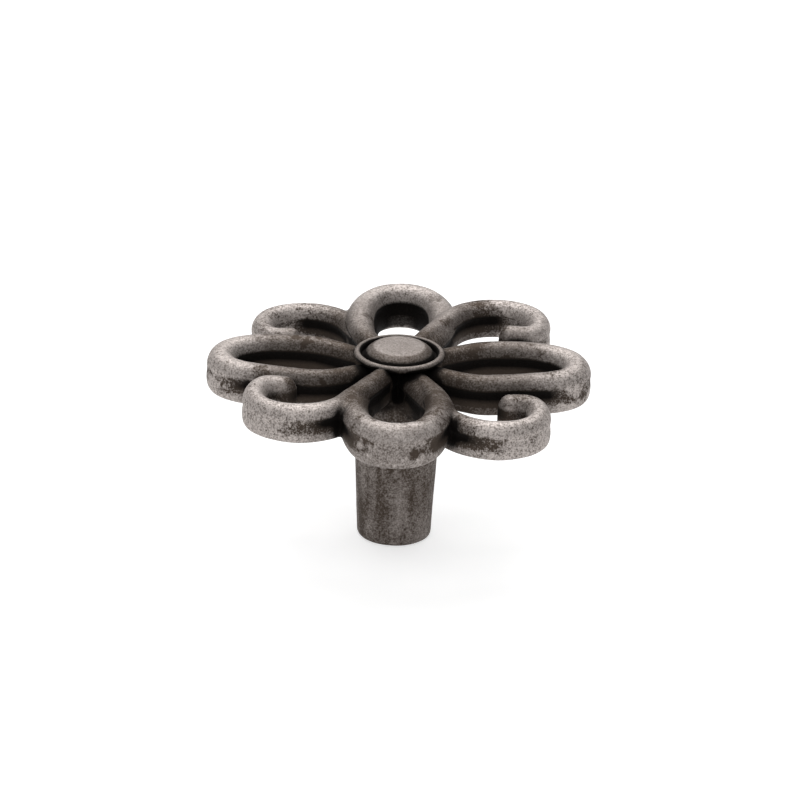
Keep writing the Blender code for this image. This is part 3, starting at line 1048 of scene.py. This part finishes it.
# The near black of the soot and painted shade.
SOOT_AND_SHADE = (0.010, 0.008, 0.007, 1.0)
METALLIC = 0.9
ROUGHNESS = 0.66
ROUGHER_IN_SOOT_AND_SHADE = 0.15
ROUGHNESS_GRAIN = {"grain": -0.3}
ROUGHNESS_LIMITS = (0.4, 0.9)
RELIEF = {"grain": 0.6, "coarse": 0.5, "cloud": 0.4}
RELIEF_STRENGTH = 0.5
RELIEF_HEIGHT = 0.05


# %% Sums over zones and noises
def weighed(found, amounts, start=0.0):
    """The sum of some zones, each times its amount."""
    return sum((found[name] * amount for name, amount in amounts.items()), start)


def swings(found, amounts):
    """The sum of some noises, each taken about its middle and times its amount."""
    return sum((found[name] - 0.5) * amount for name, amount in amounts.items())


def rubbed_and_painted_light_share(found):
    """How far the dark finish is worn off, plus painted light and shade, from 0 to 1."""
    rubbed_and_painted_light = (weighed(found, RUBBED_AND_PAINTED_LIGHT) + swings(found, CLOUDS)).kept(*RUBBED_AND_PAINTED_LIGHT_LIMITS)
    speckled = swings(found, SPECKLE) * weighed(found, SPECKLE_MORE, SPECKLE_EVERYWHERE)
    streaked = found["stem"] * swings(found, STEM_STREAKS)
    return (rubbed_and_painted_light + speckled + streaked).kept()


def soot_and_shade_share(found):
    """How much dark patina and painted shade lie in the recesses, from 0 to 1."""
    soot_and_shade = weighed(found, SOOT_AND_SHADE_MORE, SOOT_AND_SHADE_EVERYWHERE)
    # The low walls keep less, partly as painted reflection of the floor.
    lifted_low = found["low"] * (1.0 - found["back petal"]) * SOOT_AND_SHADE_LIFTED_LOW
    lifted_low = lifted_low * (1.0 - found["back arms"] * SOOT_AND_SHADE_KEPT_ON_BACK_ARMS)
    soot_and_shade = soot_and_shade * (1.0 - lifted_low) + found["hole walls"] * SOOT_AND_SHADE_IN_HOLES
    return (found["sheltered"] * soot_and_shade + found["crevice patina and shade"]).kept()


# %% The finish
def weather(material):
    """Fill the material with the knob's finish."""
    material.use_nodes = True
    nodes = Nodes(material.node_tree)
    shader = material.node_tree.nodes["Principled BSDF"]
    found = zoned(nodes)

    def mixed(share, low, high):
        return nodes.add("ShaderNodeMix", {"data_type": "RGBA"}, {0: share, 6: low, 7: high},
                         output=2)

    # Soot and painted shade cover the worn colour, which holds painted light and shade of its own.
    soot_and_shade = soot_and_shade_share(found)
    colour = mixed(soot_and_shade, mixed(rubbed_and_painted_light_share(found), WALLS, PALE), SOOT_AND_SHADE)
    rough = ROUGHNESS + soot_and_shade * ROUGHER_IN_SOOT_AND_SHADE + swings(found, ROUGHNESS_GRAIN)
    rough = rough.kept(*ROUGHNESS_LIMITS)
    bump = nodes.add("ShaderNodeBump", inputs={
        "Strength": RELIEF_STRENGTH, "Distance": RELIEF_HEIGHT * MM,
        "Height": weighed(found, RELIEF)})
    for wire, socket in ((colour, "Base Color"), (rough, "Roughness"), (bump, "Normal")):
        nodes.tree.links.new(wire.socket, shader.inputs[socket])
    shader.inputs["Metallic"].default_value = METALLIC


weather(finish)
print("nodes in the finish:", len(finish.node_tree.nodes))

# %% [markdown]
# ## Two pieces on one body
# The knob has no joints, so both pieces ride on its one body. The casting stands for the packed
# solid, and the thread is added to it.

# %% Pieces on the frame
for piece in (casting, thread):
    piece.data.materials.clear()
    piece.data.materials.append(finish)
    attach(piece, "root")
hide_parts("knob_casting")
print("pieces:", casting.name, thread.name)

# %% [markdown]
# ## Camera
# A long lens from well back, a little above the knob and turned by less than two degrees, as in
# the photograph.

# %% Camera
FOCAL_MM = 247.5
SENSOR_MM = 36.0
ELEVATION = math.radians(23.3)
ROLL = math.radians(1.87)
DISTANCE = 0.6325
IMAGE_SIDE = 800.0
RING_CENTRE_IN_IMAGE = (399.45, 350.6)

forward = Vector((0.0, math.cos(ELEVATION), -math.sin(ELEVATION)))
level = Vector((1.0, 0.0, 0.0))
upward = level.cross(forward)
right = level * math.cos(ROLL) + upward * math.sin(ROLL)
up = upward * math.cos(ROLL) - level * math.sin(ROLL)
pixel = DISTANCE * SENSOR_MM / (FOCAL_MM * IMAGE_SIDE)
across = (RING_CENTRE_IN_IMAGE[0] - IMAGE_SIDE / 2.0) * pixel
down = (RING_CENTRE_IN_IMAGE[1] - IMAGE_SIDE / 2.0) * pixel
camera = bpy.data.objects.new("camera", bpy.data.cameras.new("camera"))
bpy.context.scene.collection.objects.link(camera)
eye = Vector((0.0, 0.0, KNOB_HEIGHT * MM)) - forward * DISTANCE - right * across + up * down
camera.matrix_world = Matrix.Translation(eye) @ Matrix((right, up, -forward)).transposed().to_4x4()
camera.data.lens = FOCAL_MM
camera.data.sensor_width = SENSOR_MM
camera.data.clip_start = 0.01
bpy.context.scene.camera = camera
bpy.context.scene.view_settings.view_transform = "Standard"
print("camera at, mm:", [round(value / MM, 1) for value in eye])

# %% [markdown]
# ## Floor and light
# The knob stands on a white sheet under a large soft lamp, with a weaker one in front. The
# sheet is white to the camera and in the metal's reflections, and a plain pale surface to
# everything else, so it doesn't throw more light on the knob than paper would.

# %% Floor
SHEET_GREY = (0.62, 0.62, 0.62, 1.0)
WHITE = (1.0, 1.0, 1.0, 1.0)
GLOW_TO_CAMERA = 0.6
GLOW_IN_METAL = 0.4


def white_sheet():
    material = bpy.data.materials.new("white_sheet")
    material.use_nodes = True
    nodes = Nodes(material.node_tree)
    shader = material.node_tree.nodes["Principled BSDF"]
    shader.inputs["Base Color"].default_value = SHEET_GREY
    shader.inputs["Roughness"].default_value = 1.0
    shader.inputs["Specular IOR Level"].default_value = 0.0
    shader.inputs["Emission Color"].default_value = WHITE
    rays = nodes.add("ShaderNodeLightPath")
    glow = rays * GLOW_TO_CAMERA + rays.out("Is Glossy Ray") * GLOW_IN_METAL
    nodes.tree.links.new(glow.socket, shader.inputs["Emission Strength"])
    return material


FLOOR_HALF = 1.5
corners = [(x * FLOOR_HALF, y * FLOOR_HALF, 0.0) for x, y in ((-1, -1), (1, -1), (1, 1), (-1, 1))]
floor_mesh = bpy.data.meshes.new("floor")
floor_mesh.from_pydata(corners, [], [(0, 1, 2, 3)])
floor = new_object("floor", floor_mesh)
floor.data.materials.append(white_sheet())
print("floor:", 2.0 * FLOOR_HALF, "m square")

# %% World and lamps
SKY_STRENGTH = 0.3

world = bpy.data.worlds.new("studio")
bpy.context.scene.world = world
world.use_nodes = True
background = world.node_tree.nodes["Background"]
background.inputs["Color"].default_value = WHITE
background.inputs["Strength"].default_value = SKY_STRENGTH


def soft_lamp(name, place, side, power):
    """A square lamp that faces the knob's head."""
    lamp = bpy.data.objects.new(name, bpy.data.lights.new(name, "AREA"))
    bpy.context.scene.collection.objects.link(lamp)
    lamp.location = place
    head = Vector((0.0, 0.0, KNOB_HEIGHT * MM))
    lamp.rotation_euler = (head - Vector(place)).to_track_quat("-Z", "Y").to_euler()
    lamp.data.size = side
    lamp.data.energy = power
    print("lamp", name, power, "W")


soft_lamp("overhead", (-0.03, 0.17, 0.46), side=0.5, power=2.4)
soft_lamp("front", (-0.08, -0.42, 0.42), side=0.45, power=0.7)
